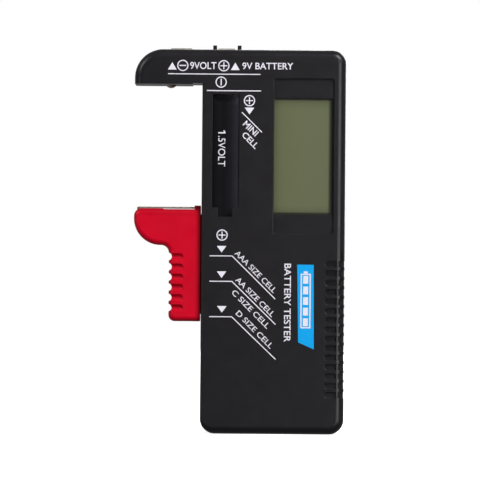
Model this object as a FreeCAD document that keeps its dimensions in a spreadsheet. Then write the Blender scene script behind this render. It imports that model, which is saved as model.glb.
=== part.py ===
import FreeCAD, Part
import math
import os
import re
import Sketcher

# Hand-held battery tester with a sprung cell slide.
# Frame: millimetres, +Z up along the case, front face towards -Y, +X to the right when
# facing the display. The origin is under the middle of the overall box, at the base.

# Driving dimensions. Letters in a name: x, y, z are places in the frame, the rest are sizes.
DIMS = {
    # case outline
    "case_left_x": -10.7, "case_right_x": 29.7, "case_high": 108.0, "half_deep": 12.0,
    "wall": 1.8, "arm_left_x": -29.7, "arm_under_z": 98.2, "arm_round": 8.0,
    "top_round": 3.8, "base_round": 4.2, "edge_round": 2.2, "jaw_round": 0.8, "seam": 0.15,
    # display recess, window and stack
    "recess_left_x": 9.4, "recess_right_x": 26.4, "recess_low_z": 56.2, "recess_high_z": 100.0,
    "recess_deep": 0.6, "recess_round": 0.8, "window_left_x": 9.6, "window_right_x": 26.1,
    "window_low_z": 61.7, "window_high_z": 94.4, "film_thick": 0.2, "glass_thick": 1.1, "glass_left_x": 8.6,
    "glass_right_x": 27.4, "glass_low_z": 58.5, "glass_high_z": 97.0, "ledge_wide": 2.6,
    "film_margin": 0.4, "rebate": 0.7, "rebate_gap": 0.15, "holder_wall": 1.8,
    "zebra_wide": 2.0, "zebra_margin": 0.2,
    # button-cell trough in the front, and the tunnel that its slide runs into
    "trough_left_x": -7.8, "trough_right_x": -0.3, "trough_low_z": 63.6, "trough_high_z": 96.1,
    "brow_low_z": 95.4, "brow_thick": 0.4,
    "notch_left_x": -6.15, "notch_right_x": -2.05, "notch_low_z": 61.0, "tunnel_skin": 0.9,
    "tunnel_low_z": 25.5, "rail_thick": 1.2, "rail_low_z": 63.0, "rail_high_z": 97.0,
    "rail_floor_y": -7.9, "rail_back_y": -6.9,
    # slide travel and the slot in the case's side
    "travel": 30.5, "slot_half": 3.05, "slot_top_z": 62.0, "slot_gap": 0.3,
    # finger grooves on the case's right edge
    "groove_count": 15, "groove_pitch": 2.63, "groove_high": 1.7, "groove_deep": 0.6,
    "groove_left_x": 24.1, "groove_right_x": 27.4, "groove_low_z": 10.25, "groove_rim_x": 27.95,
    "groove_side_y": 10.0, "groove_side_deep": 0.15,
    # red slide: hook, grip, neck and inner plate
    "hook_left_x": -29.7, "hook_under_z": 52.9, "hook_round": 7.5, "hook_nose": 2.2,
    "slide_top_z": 63.25, "slide_right_x": -10.95, "slide_low_z": 31.5, "slide_half": 10.0,
    "grip_left_x": -19.8, "grip_round": 1.8, "throat_round": 2.2, "slide_edge": 1.5,
    "gap_left_x": -21.4, "gap_deep": 0.2, "ear_wide": 1.7, "ear_rise": 0.85,
    "ear_in_y": 6.4, "ear_out_y": 8.3, "neck_half": 2.8, "neck_top_z": 61.3,
    "neck_low_z": 33.5, "flange_in_x": -7.2, "flange_out_x": -8.6, "flange_half": 6.5,
    "pad_right_x": -0.6, "pad_front_y": -2.9, "pad_back_y": -0.6, "pad_low_z": 38.0,
    "pad_high_z": 58.0, "notch_count": 6, "notch_pitch": 2.88, "notch_top_z": 49.7,
    "notch_radius": 1.1, "notch_centre_x": -20.05, "scoop_radius": 1.0, "scoop_deep": 0.6,
    "scoop_right_x": -16.6,
    # slide's cell contact
    "strip_thick": 0.45, "strip_half": 6.0, "strip_left_x": -28.9, "strip_lip": 1.0,
    "leg_thick": 0.4, "leg_half": 2.3, "leg_right_x": -4.5, "jog_right_x": -11.5,
    # button-cell slide and its contact
    "tongue_side": 0.15, "tongue_front_y": -10.9, "tongue_back_y": -8.1, "tongue_low_z": 56.5,
    "tongue_high_z": 95.4, "tongue_hollow": 6.0, "tongue_sink": 1.2, "foot_left_x": -6.9,
    "tip_half": 1.55, "lead_half": 0.75, "tip_thick": 0.3, "tip_front_y": -11.5,
    "groove_skin_y": -8.3, "fixed_tip_z": 95.8, "fixed_front_y": -11.4, "fixed_back_y": -5.4,
    # contacts for a nine-volt battery
    "snap_spacing": 12.7, "snap_mid_x": -4.0, "snap_plus_wide": 4.7, "snap_minus_wide": 5.9,
    "snap_half": 4.2, "snap_thick": 0.4, "snap_rise": 0.15, "snap_bend": 0.7, "snap_leg_z": 104.6,
    "post_wide": 1.1, "post_spacing": 6.9, "post_high": 1.4, "post_half": 3.5, "slit_gap": 0.1,
    # contact under the arm
    "dome_x": -19.6, "dome_radius": 1.55, "dome_rise": 0.9, "dome_hole": 1.9,
    "plate_left_x": -21.4, "plate_right_x": -12.2, "plate_half": 3.5, "plate_thick": 0.4,
    "plate_lift": 0.05, "relief_left_x": -13.4, "relief_high": 0.3,
    # screws and bosses
    "boss_radius": 2.6, "cup_radius": 3.1, "cup_bore": 2.3, "cup_floor_y": 5.0,
    "screw_pass": 1.3, "screw_pilot": 1.12, "screw_radius": 1.1, "screw_head": 2.1,
    "head_high": 1.6, "screw_tip_y": -7.0, "pilot_deep_y": -8.0, "joint_gap": 0.2,
    "cross_wide": 0.55, "cross_deep": 0.9,
    "board_post": 2.0, "board_pilot": 0.82, "board_screw": 0.8, "board_head": 1.7,
    "board_head_high": 1.2, "board_tip_y": -8.6,
    # tabs that line the two halves up, one inside the right wall and one on the floor
    "tab_thick": 0.8, "tab_gap": 0.1, "tab_low_z": 34.0, "tab_high_z": 52.0, "tab_left_x": 10.5,
    "tab_right_x": 19.5, "tab_reach": 1.2, "tab_tie": 0.6, "tab_root": 2.5,
    # circuit board and what it carries
    "board_left_x": 3.2, "board_right_x": 27.4, "board_low_z": 28.0, "board_high_z": 99.0,
    "board_front_y": -4.0, "board_thick": 1.6, "blob_radius": 4.6, "blob_high": 1.5,
    "blob_x": 15.5, "blob_z": 47.0, "coil_radius": 2.6, "coil_high": 3.6, "coil_x": 20.5,
    "coil_z": 72.0, "coil_rim": 0.8,
    # return spring, its post and terminal
    "spring_x": -5.0, "spring_y": 1.0, "spring_radius": 1.6, "spring_wire": 0.25,
    "spring_overrun": 0.1, "spring_turns": 23, "hook_low_z": 62.5, "hook_high_z": 93.6,
    "post_z": 94.0,
    "post_radius": 0.9, "post_base": 2.2, "post_base_y": 2.6, "post_tip_y": -0.6,
    "eye_radius": 1.8, "eye_hole": 1.0, "eye_thick": 0.4, "eye_y": 1.5, "tail_long": 2.0,
    "tail_half": 0.8, "lead_radius": 0.5,
    # shallow panel on the back
    "panel_left_x": -4.0, "panel_right_x": 23.0, "panel_low_z": 26.0, "panel_high_z": 84.0,
    "panel_deep": 0.4, "panel_round": 2.0,
}
CASE_SCREWS = [(-24.0, 102.6), (25.0, 103.0), (24.6, 6.5), (5.5, 6.5)]
BOARD_SCREWS = [(5.9, 96.0), (5.9, 33.0), (24.4, 33.0)]
SLIDE_SCREWS = [(-3.9, 43.0), (-3.9, 53.0)]
# Small parts on the board's back, each as left x, low z, width, height and thickness.
RESISTORS = [(8.0 + 2.6 * i, 60.0, 1.25, 2.0, 0.5) for i in range(4)]
RESISTORS += [(8.0, 52.0, 2.0, 1.25, 0.5), (8.0, 49.0, 2.0, 1.25, 0.5)]
CAPACITORS = [(21.5, 60.0, 1.6, 3.2, 1.2), (24.2, 60.0, 1.6, 3.2, 1.2), (22.0, 44.0, 1.25, 2.0, 0.9)]
# Hook-up leads as the points their centre lines turn at.
LEADS = {
    "cell_negative_lead": [(-12.8, 0, 101.0), (-9.0, 0, 101.1), (-4.0, 0.6, 100.6), (2.5, 1.2, 98.4),
                           (4.6, 0.6, 94.4), (5.0, -1.85, 90.4)],
    "nine_volt_negative_lead": [(-16.7, 3.2, 105.8), (-16.7, 3.2, 102.6), (-9.0, 5.8, 101.2),
                                (0, 6.4, 99.4), (6.6, 4.4, 95.6), (9.0, -1.85, 91.0)],
    "nine_volt_positive_lead": [(-4.0, 3.2, 106.0), (-4.0, 3.2, 103.2), (2.0, 3.6, 102.4),
                                (9.0, 2.6, 100.4), (12.6, 0.2, 97.0), (13.2, -1.85, 93.4)],
    "spring_lead": [(-1.1, 1.7, 94.0), (1.0, 1.7, 93.8), (3.2, 1.2, 88.0), (4.8, -1.85, 82.4)],
    "button_cell_lead": [(-4.05, -4.8, 95.95), (-2.2, -4.1, 97.0), (1.2, -4.2, 94.9),
                         (2.2, -5.0, 89.6), (4.6, -4.55, 84.6)],
}
NEAR = 0.03

doc = FreeCAD.newDocument("battery_tester")
sheet = doc.addObject("Spreadsheet::Sheet", "Dims")
for row, (alias, size) in enumerate(DIMS.items(), start=1):
    sheet.set(f"A{row}", str(size))
    sheet.setAlias(f"A{row}", alias)
    sheet.set(f"B{row}", alias.replace("_", " "))
doc.recompute()


def bound(text):
    """An expression with the sheet's name put before each alias in it."""
    return re.sub(r"[a-z]\w*", lambda m: "Dims." + m[0] if m[0] in DIMS else m[0], str(text))


def size(alias):
    """A cell's number, for geometry that code computes."""
    return float(sheet.get(alias))


def rectangle(x0, x1, y0, y1):
    return [(x0, y0), (x1, y0), (x1, y1), (x0, y1)]


def circle(x, y, radius):
    return {"centre": (x, y), "radius": radius}


def edges_at(shape, **place):
    """Names of the edges that lie wholly at the given x, y or z."""
    names = []
    for number, edge in enumerate(shape.Edges, start=1):
        box = edge.BoundBox
        spans = {"x": (box.XMin, box.XMax), "y": (box.YMin, box.YMax), "z": (box.ZMin, box.ZMax)}
        if all(abs(end - at) < NEAR for axis, at in place.items() for end in spans[axis]):
            names.append(f"Edge{number}")
    return names


class Piece:
    """A PartDesign body made of prisms along the frame's axes, with sizes bound to the sheet."""

    PLANES = {"XY": ("XY_Plane", 1), "XZ": ("XZ_Plane", -1), "YZ": ("YZ_Plane", 1)}

    def __init__(self, name):
        self.name = name
        self.body = doc.addObject("PartDesign::Body", name)
        self.body.Label = name
        self.steps = 0

    def sketch(self, plane, outlines, place):
        """A sketch on one of the body's origin planes, moved along that plane's normal."""
        role, sign = self.PLANES[plane]
        self.steps += 1
        made = self.body.newObject("Sketcher::SketchObject", f"{self.name}_sketch_{self.steps}")
        support = next(o for o in self.body.Origin.OriginFeatures if o.Role == role)
        made.AttachmentSupport = [(support, "")]
        made.MapMode = "FlatFace"
        made.setExpression("AttachmentOffset.Base.z", bound(f"{sign} * ({place})"))
        for outline in outlines:
            if isinstance(outline, dict):
                self.draw_circle(made, outline)
            else:
                self.draw_polygon(made, outline)
        return made

    def pin_point(self, made, item, point, start, place):
        """Holds one point of the sketch at a place given by two expressions."""
        for kind, first, text in zip(("DistanceX", "DistanceY"), start, place):
            index = made.addConstraint(Sketcher.Constraint(kind, -1, 1, item, point, first))
            made.setExpression(f"Constraints[{index}]", bound(text))

    def draw_polygon(self, made, outline):
        count, first = len(outline), made.GeometryCount
        ring = [(10 * math.cos(2 * math.pi * i / count), 10 * math.sin(2 * math.pi * i / count))
                for i in range(count)]
        corners = [FreeCAD.Vector(x, y, 0) for x, y in ring]
        for i in range(count):
            made.addGeometry(Part.LineSegment(corners[i], corners[(i + 1) % count]), False)
        for i in range(count):
            ends = (first + i, 2, first + (i + 1) % count, 1)
            made.addConstraint(Sketcher.Constraint("Coincident", *ends))
        for i in range(count):
            self.pin_point(made, first + i, 1, ring[i], outline[i])

    def draw_circle(self, made, outline):
        item = made.addGeometry(Part.Circle(FreeCAD.Vector(1, 1, 0), FreeCAD.Vector(0, 0, 1), 1.0), False)
        self.pin_point(made, item, 3, (1.0, 1.0), outline["centre"])
        index = made.addConstraint(Sketcher.Constraint("Radius", item, 1.0))
        made.setExpression(f"Constraints[{index}]", bound(outline["radius"]))

    def prism(self, kind, plane, outlines, low, high, at_low):
        sketch = self.sketch(plane, outlines, low if at_low else high)
        feature = self.body.newObject(f"PartDesign::{kind}", f"{self.name}_step_{self.steps}")
        feature.Profile = sketch
        feature.setExpression("Length", bound(f"({high}) - ({low})"))
        doc.recompute()
        return feature

    def add(self, plane, outlines, low, high):
        """Adds a prism between two places along the plane's axis."""
        return self.prism("Pad", plane, outlines, low, high, at_low=self.PLANES[plane][1] > 0)

    def cut(self, plane, outlines, low, high):
        """Cuts a prism between two places, and checks that it takes something away."""
        before = self.body.Shape.Volume
        feature = self.prism("Pocket", plane, outlines, low, high, at_low=self.PLANES[plane][1] < 0)
        if self.body.Shape.Volume > before - 1e-3:
            raise ValueError(f"{feature.Name} cuts nothing")
        return feature

    def round(self, radius, *places):
        """Fillets the edges at each of the places, and what runs on smoothly from them."""
        base = self.body.Tip
        names = [name for place in places for name in edges_at(base.Shape, **place)]
        self.steps += 1
        feature = self.body.newObject("PartDesign::Fillet", f"{self.name}_round_{self.steps}")
        feature.Base = (base, names)
        feature.setExpression("Radius", bound(radius))
        doc.recompute()
        if not names or "Invalid" in feature.State:
            raise ValueError(f"{feature.Name} rounds nothing")
        return feature

    def bevel(self, width, **place):
        """Chamfers the edges that lie wholly at a place."""
        base = self.body.Tip
        self.steps += 1
        feature = self.body.newObject("PartDesign::Chamfer", f"{self.name}_bevel_{self.steps}")
        feature.Base = (base, edges_at(base.Shape, **place))
        feature.setExpression("Size", bound(width))
        doc.recompute()
        if "Invalid" in feature.State:
            raise ValueError(f"{feature.Name} bevels nothing")
        return feature

    def repeat_up(self, feature, pitch, count):
        """Repeats a feature upwards along Z."""
        self.steps += 1
        pattern = self.body.newObject("PartDesign::LinearPattern", f"{self.name}_row_{self.steps}")
        pattern.Originals = [feature]
        axis = next(o for o in self.body.Origin.OriginFeatures if o.Role == "Z_Axis")
        pattern.Direction = (axis, [""])
        pattern.Mode = "Spacing"
        pattern.setExpression("Offset", bound(pitch))
        pattern.setExpression("Occurrences", bound(count))
        self.body.Tip = pattern
        doc.recompute()
        return pattern


def place_at(made, x, y, z, rotation=None):
    if rotation:
        made.Placement = FreeCAD.Placement(FreeCAD.Vector(), rotation)
    for axis, text in zip("xyz", (x, y, z)):
        made.setExpression(f"Placement.Base.{axis}", bound(text))
    return made


def box(name, x0, x1, y0, y1, z0, z1):
    """A Part box between low and high places along X, Y and Z."""
    made = doc.addObject("Part::Box", name)
    for side, low, high in (("Length", x0, x1), ("Width", y0, y1), ("Height", z0, z1)):
        made.setExpression(side, bound(f"({high}) - ({low})"))
    return place_at(made, x0, y0, z0)


TURN = {
    "x": FreeCAD.Rotation(FreeCAD.Vector(0, 1, 0), 90),
    "y": FreeCAD.Rotation(FreeCAD.Vector(1, 0, 0), -90),
    "z": FreeCAD.Rotation(),
}


def cylinder(name, axis, x, y, z, radius, length):
    """A Part cylinder that starts at a point and runs along +x, +y or +z."""
    made = doc.addObject("Part::Cylinder", name)
    made.setExpression("Radius", bound(radius))
    made.setExpression("Height", bound(length))
    return place_at(made, x, y, z, TURN[axis])


def fuse(name, pieces):
    made = doc.addObject("Part::MultiFuse", name)
    made.Shapes = pieces
    made.Label = name
    return made


def subtract(name, base, tool):
    made = doc.addObject("Part::Cut", name)
    made.Base = base
    made.Tool = tool
    made.Label = name
    return made


def group(name, pieces):
    made = doc.addObject("Part::Compound", name)
    made.Links = pieces
    made.Label = name
    return made


def solid(name, shape):
    """A sub-part whose shape is computed in code."""
    made = doc.addObject("Part::Feature", name)
    made.Shape = shape
    made.Label = name
    return made


# ---- case -------------------------------------------------------------------------------------

def case_outline():
    return [
        ("case_left_x", "0"), ("case_right_x", "0"), ("case_right_x", "case_high"),
        ("arm_left_x", "case_high"), ("arm_left_x", "arm_under_z"), ("case_left_x", "arm_under_z"),
    ]


def cavity_outline():
    """The outline inside the wall. The arm's round end is followed with three chords."""
    inner = "(arm_round - wall)"
    centre = ("arm_left_x + arm_round", "case_high - arm_round")
    bend = [(f"{centre[0]} - {inner} * cos({a})", f"{centre[1]} + {inner} * sin({a})")
            for a in (90, 60, 30, 0)]
    return [
        ("case_left_x + wall", "wall"), ("case_right_x - wall", "wall"),
        ("case_right_x - wall", "case_high - wall"), *bend,
        ("arm_left_x + wall", "arm_under_z + wall"), ("case_left_x + wall", "arm_under_z + wall"),
    ]


def rim_radii(shape, face):
    """A radius for each end of each edge round the outer face. The jaw side's is the smaller one,
    and the arm's underside stays sharp."""
    left, under = size("case_left_x"), size("arm_under_z")
    wide, narrow = size("edge_round"), size("jaw_round")
    rows = []
    for number, edge in enumerate(shape.Edges, start=1):
        box = edge.BoundBox
        if min(abs(box.YMin - face), abs(box.YMax - face)) > NEAR or box.YLength > NEAR:
            continue
        if box.ZMin > under - NEAR and box.ZMax < under + NEAR:
            continue
        on_left = abs(box.XMin - left) < NEAR
        if on_left and box.XLength < NEAR:
            rows.append((number, narrow, narrow))
        elif on_left and box.XLength < 2 * size("base_round"):
            rows.append((number, narrow, wide))
        else:
            rows.append((number, wide, wide))
    return rows


def half_case(name, outer, inner, parting_first):
    """One half of the case: a rounded tray between the parting plane and its outer face."""
    low, high = ("0", outer) if parting_first else (outer, "0")
    blank = Piece(f"{name}_blank")
    blank.add("XZ", [case_outline()], low, high)
    top, right = size("case_high"), size("case_right_x")
    blank.round("arm_round", {"x": size("arm_left_x"), "z": top})
    blank.round("top_round", {"x": right, "z": top})
    blank.round("base_round", {"x": right, "z": 0.0}, {"x": size("case_left_x"), "z": 0.0})
    blank.bevel("seam", y=0.0)
    rim = doc.addObject("Part::Fillet", f"{name}_rim")
    rim.Base = blank.body
    rim.Edges = rim_radii(blank.body.Shape, size("half_deep") * (1 if parting_first else -1))
    doc.recompute()
    half = Piece(name)
    half.body.BaseFeature = rim
    doc.recompute()
    low, high = ("0", inner) if parting_first else (inner, "0")
    half.cut("XZ", [cavity_outline()], low, high)
    return half


def snap_sides(sign):
    """Left and right x of a nine-volt contact: sign 0 is the positive one, 1 the negative one."""
    centre = f"(snap_mid_x - {sign} * snap_spacing)"
    width = "snap_minus_wide" if sign else "snap_plus_wide"
    return f"{centre} - {width} / 2", f"{centre} + {width} / 2"


def cut_shared_openings(half, y_low, y_high, side):
    """Openings that both halves carry: slide slot, arm hole and relief, contact slits, edge grooves."""
    slot = rectangle("case_left_x - 1", "case_left_x + wall", y_low, y_high)
    half.cut("XY", [slot], "neck_low_z - travel - slot_gap", "slot_top_z")
    half.cut("XY", [circle("dome_x", "0", "dome_hole")], "arm_under_z - 1", "arm_under_z + wall")
    relief = rectangle("relief_left_x", "case_left_x", "arm_under_z - 1", "arm_under_z + relief_high")
    low, high = ("-half_deep - 1", "0") if side < 0 else ("0", "half_deep + 1")
    half.cut("XZ", [relief], low, high)
    slits = []
    for sign in (0, 1):
        left, right = snap_sides(sign)
        near = f"{side} * (snap_half - snap_thick - slit_gap)"
        far = f"{side} * (snap_half + slit_gap)"
        slits.append(rectangle(f"{left} - slit_gap", f"{right} + slit_gap", near, far))
    half.cut("XY", slits, "case_high - wall - 1", "case_high + 1")
    # grooves across the right wall that slope out to nothing on the rounded rim
    wall_x, past = "case_right_x - groove_side_deep", f"{-side} * 0.5"
    outline = [(wall_x, past), (wall_x, f"{side} * groove_side_y"),
               ("groove_rim_x", f"{side} * half_deep"), ("groove_rim_x", f"{side} * (half_deep + 1)"),
               ("case_right_x + 1", f"{side} * (half_deep + 1)"), ("case_right_x + 1", past)]
    side_groove = half.cut("XY", [outline], "groove_low_z", "groove_low_z + groove_high")
    half.repeat_up(side_groove, "groove_pitch", "groove_count")


def add_snap_posts(half, y_low, y_high):
    """Two ribs that stand either side of the positive nine-volt contact."""
    posts = []
    for shift in ("- post_spacing / 2", "+ post_spacing / 2"):
        middle = f"snap_mid_x + 0.2 {shift}"
        posts.append(rectangle(f"{middle} - post_wide / 2", f"{middle} + post_wide / 2", y_low, y_high))
    half.add("XY", posts, "case_high - wall / 2", "case_high + post_high")


def front_housing():
    half = half_case("front_housing", "-half_deep", "wall - half_deep", parting_first=False)
    back = "wall - half_deep"
    # rails, floor and end wall of the channel behind the button-cell trough
    rails = [rectangle("case_left_x + wall / 2", "trough_left_x", "rail_low_z", "rail_high_z"),
             rectangle("trough_right_x", "trough_right_x + rail_thick", "rail_low_z", "rail_high_z")]
    half.add("XZ", rails, f"{back} - 0.5", "rail_back_y")
    floor = rectangle("case_left_x + wall / 2", "trough_right_x + rail_thick", "rail_low_z", "rail_high_z")
    half.add("XZ", [floor], "rail_floor_y", "rail_back_y")
    end = rectangle("trough_left_x - 0.1", "trough_right_x + 0.1", "trough_high_z", "rail_high_z")
    half.add("XZ", [end], f"{back} - 0.5", "rail_floor_y + 0.1")
    # bosses for the case screws and posts for the board
    bosses = [circle(x, z, "boss_radius") for x, z in CASE_SCREWS]
    half.add("XZ", bosses, f"{back} - 0.5", "-joint_gap")
    half.cut("XZ", [circle(x, z, "screw_pilot") for x, z in CASE_SCREWS], "pilot_deep_y", "0")
    posts = [circle(x, z, "board_post") for x, z in BOARD_SCREWS]
    half.add("XZ", posts, f"{back} - 0.5", "board_front_y")
    half.cut("XZ", [circle(x, z, "board_pilot") for x, z in BOARD_SCREWS], "board_tip_y - 0.3", "0")
    # trough, the brow over its upper end, its lower notch and the tunnel under the front wall
    trough = rectangle("trough_left_x", "trough_right_x", "trough_low_z", "trough_high_z")
    half.cut("XZ", [trough], "-half_deep - 1", "rail_floor_y")
    brow = rectangle("trough_left_x - 0.1", "trough_right_x + 0.1", "brow_low_z", "trough_high_z + 0.1")
    half.add("XZ", [brow], "-half_deep", "-half_deep + brow_thick")
    notch = rectangle("notch_left_x", "notch_right_x", "notch_low_z", "trough_low_z + 0.1")
    half.cut("XZ", [notch], "-half_deep - 1", f"{back} + 0.1")
    tunnel = rectangle("trough_left_x", "trough_right_x", "tunnel_low_z", "trough_low_z + 0.1")
    half.cut("XZ", [tunnel], "-half_deep + tunnel_skin", f"{back} + 0.1")
    contact_slit = rectangle("(trough_left_x + trough_right_x) / 2 - tip_half - 0.1",
                             "(trough_left_x + trough_right_x) / 2 + tip_half + 0.1",
                             "fixed_tip_z - 0.05", "trough_high_z + 0.05")
    half.cut("XZ", [contact_slit], "rail_floor_y - 0.2", "rail_back_y + 1")
    # display recess, its window and the rebate behind it that the glass sits in
    recess = rectangle("recess_left_x", "recess_right_x", "recess_low_z", "recess_high_z")
    half.cut("XZ", [recess], "-half_deep - 1", "-half_deep + recess_deep")
    corners = [{"x": size(x), "z": size(z)} for x in ("recess_left_x", "recess_right_x")
               for z in ("recess_low_z", "recess_high_z")]
    half.round("recess_round", *corners)
    window = rectangle("window_left_x", "window_right_x", "window_low_z", "window_high_z")
    half.cut("XZ", [window], "-half_deep - 1", f"{back} + 1")
    rebate = rectangle("glass_left_x - rebate_gap", "glass_right_x + rebate_gap",
                       "glass_low_z - rebate_gap", "glass_high_z + rebate_gap")
    half.cut("XZ", [rebate], f"{back} - rebate", f"{back} + 0.1")
    cut_shared_openings(half, "-slot_half", "0.5", -1)
    # finger grooves on the front face, with round inner ends
    middle = "groove_low_z + groove_high / 2"
    groove_run = rectangle("groove_left_x + groove_high / 2", "groove_right_x",
                           "groove_low_z", "groove_low_z + groove_high")
    run = half.cut("XZ", [groove_run], "-half_deep - 1", "-half_deep + groove_deep")
    half.repeat_up(run, "groove_pitch", "groove_count")
    groove_end = circle("groove_left_x + groove_high / 2", middle, "groove_high / 2")
    end_cut = half.cut("XZ", [groove_end], "-half_deep - 1", "-half_deep + groove_deep")
    half.repeat_up(end_cut, "groove_pitch", "groove_count")
    add_snap_posts(half, "-post_half", "0")
    return half.body


def rear_housing():
    half = half_case("rear_housing", "half_deep", "half_deep - wall", parting_first=True)
    back = "half_deep - wall"
    cups = [circle(x, z, "cup_radius") for x, z in CASE_SCREWS]
    half.add("XZ", cups, "0", f"{back} + 0.5")
    half.cut("XZ", [circle(x, z, "cup_bore") for x, z in CASE_SCREWS], "cup_floor_y", "half_deep + 1")
    half.cut("XZ", [circle(x, z, "screw_pass") for x, z in CASE_SCREWS], "-1", "cup_floor_y + 0.1")
    # post that holds the upper end of the return spring
    half.add("XZ", [circle("spring_x", "post_z", "post_base")], "post_base_y", f"{back} + 0.5")
    half.add("XZ", [circle("spring_x", "post_z", "post_radius")], "post_tip_y", "post_base_y + 0.5")
    # tabs that reach into the front half, and the ties that join them to the wall
    inner_x, inner_z = "case_right_x - wall - tab_gap - tab_thick", "wall + tab_gap + tab_thick"
    tabs = [rectangle(inner_x, "case_right_x - wall - tab_gap", "tab_low_z", "tab_high_z"),
            rectangle("tab_left_x", "tab_right_x", "wall + tab_gap", inner_z)]
    half.add("XZ", tabs, "-tab_reach", "tab_root")
    ties = [rectangle(inner_x, "case_right_x - wall / 2", "tab_low_z", "tab_high_z"),
            rectangle("tab_left_x", "tab_right_x", "wall / 2", inner_z)]
    half.add("XZ", ties, "tab_tie", "tab_root")
    panel = rectangle("panel_left_x", "panel_right_x", "panel_low_z", "panel_high_z")
    half.cut("XZ", [panel], "half_deep - panel_deep", "half_deep + 1")
    cut_shared_openings(half, "-0.5", "slot_half", 1)
    add_snap_posts(half, "0", "post_half")
    return half.body


# ---- screws -----------------------------------------------------------------------------------

def cross_screws(name, places, head_y, tip_y, shaft, head, head_high):
    """Pan-head screws driven from the back, along -Y."""
    screws = []
    for i, (x, z) in enumerate(places, start=1):
        stem = f"{name}_{i}"
        body = fuse(f"{stem}_blank", [
            cylinder(f"{stem}_shaft", "y", x, tip_y, z, shaft, f"{head_y} - ({tip_y}) + 0.1"),
            cylinder(f"{stem}_head", "y", x, head_y, z, head, head_high)])
        slots, long, crown = [], f"{head} * 1.2", f"{head_y} + {head_high}"
        for part, across, along in (("a", "cross_wide", long), ("b", long, "cross_wide")):
            slots.append(box(f"{stem}_slot_{part}", f"{x} - {across} / 2", f"{x} + {across} / 2",
                             f"{crown} - cross_deep", f"{crown} + 1",
                             f"{z} - {along} / 2", f"{z} + {along} / 2"))
        screws.append(subtract(f"{stem}_made", body, fuse(f"{stem}_cross", slots)))
    return group(name, screws)


# ---- display and board ------------------------------------------------------------------------

def display_parts():
    front = "wall - half_deep - rebate + 0.05"
    first = f"{front} + film_thick"
    second = f"{first} + glass_thick"
    last = f"{second} + glass_thick"
    ledge_x = "glass_left_x + ledge_wide"
    film = Piece("display_polarizer")
    sheet_outline = rectangle("glass_left_x + film_margin", "glass_right_x - film_margin",
                              "glass_low_z + 4 * film_margin", "glass_high_z - 4 * film_margin")
    film.add("XZ", [sheet_outline], front, first)
    upper = Piece("display_front_glass")
    pane = rectangle("glass_left_x", "glass_right_x", "glass_low_z", "glass_high_z")
    upper.add("XZ", [pane], first, second)
    lower = Piece("display_rear_glass")
    short_pane = rectangle(ledge_x, "glass_right_x", "glass_low_z", "glass_high_z")
    lower.add("XZ", [short_pane], second, last)
    mirror = Piece("display_reflector")
    mirror.add("XZ", [rectangle(f"{ledge_x} + film_margin", "glass_right_x - film_margin",
                                "glass_low_z + film_margin", "glass_high_z - film_margin")],
               last, f"{last} + film_thick")
    holder = Piece("display_holder")
    holder.add("XZ", [short_pane], f"{last} + film_thick", "board_front_y")
    holder.cut("XZ", [rectangle(f"{ledge_x} + holder_wall", "glass_right_x - holder_wall",
                                "glass_low_z + holder_wall", "glass_high_z - holder_wall")],
               last, "board_front_y + 1")
    zebra = Piece("zebra_connector")
    zebra.add("XZ", [rectangle("glass_left_x + zebra_margin", "glass_left_x + zebra_margin + zebra_wide",
                               "glass_low_z + 1", "glass_high_z - 1")], second, "board_front_y")
    return [p.body for p in (film, upper, lower, mirror, holder, zebra)]


def board_parts():
    back = "board_front_y + board_thick"
    board = Piece("circuit_board")
    board.add("XZ", [rectangle("board_left_x", "board_right_x", "board_low_z", "board_high_z")],
              "board_front_y", back)
    holes = [circle(x, z, "board_screw + 0.2") for x, z in BOARD_SCREWS]
    board.cut("XZ", holes, "board_front_y - 1", f"{back} + 1")
    # epoxy over the bare chip: a low cap cut from a sphere
    ball = doc.addObject("Part::Sphere", "blob_ball")
    round_size = "(blob_radius ^ 2 + blob_high ^ 2) / (2 * blob_high)"
    ball.setExpression("Radius", bound(round_size))
    place_at(ball, "blob_x", f"{back} + blob_high - {round_size}", "blob_z")
    reach = "(blob_radius + 1)"
    room = box("blob_room", f"blob_x - {reach}", f"blob_x + {reach}", back, f"{back} + blob_high + 1",
               f"blob_z - {reach}", f"blob_z + {reach}")
    blob = doc.addObject("Part::Common", "chip_blob")
    blob.Base, blob.Tool = ball, room
    blob.Label = "chip_blob"
    chips = []
    for name, rows in (("chip_resistors", RESISTORS), ("chip_capacitors", CAPACITORS)):
        parts = [box(f"{name}_{i}", x, x + wide, back, f"{back} + {thick}", z, z + high)
                 for i, (x, z, wide, high, thick) in enumerate(rows, start=1)]
        chips.append(group(name, parts))
    drum = fuse("boost_inductor", [
        cylinder("drum_base", "y", "coil_x", back, "coil_z", "coil_radius", "coil_rim"),
        cylinder("drum_core", "y", "coil_x", back, "coil_z", "coil_radius * 0.8", "coil_high"),
        cylinder("drum_top", "y", "coil_x", f"{back} + coil_high - coil_rim", "coil_z",
                 "coil_radius", "coil_rim")])
    return [board.body, blob, *chips, drum]


# ---- contacts ---------------------------------------------------------------------------------

def snap_contact(name, sign):
    """A staple of sheet metal on the case's top whose legs pass down through two slits."""
    left, right = snap_sides(sign)
    crown, under = "case_high + snap_rise + snap_thick", "case_high + snap_rise"
    profile = [
        ("-snap_half", "snap_leg_z"), ("-snap_half + snap_thick", "snap_leg_z"),
        ("-snap_half + snap_thick", under), ("snap_half - snap_thick", under),
        ("snap_half - snap_thick", "snap_leg_z"), ("snap_half", "snap_leg_z"),
        ("snap_half", crown), ("-snap_half", crown),
    ]
    piece = Piece(name)
    piece.add("YZ", [profile], left, right)
    half, thick = size("snap_half"), size("snap_thick")
    low = size("case_high") + size("snap_rise")
    for radius, y, z in (("snap_bend", half, low + thick), ("snap_bend - snap_thick", half - thick, low)):
        piece.round(radius, {"y": -y, "z": z}, {"y": y, "z": z})
    return piece.body


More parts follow.
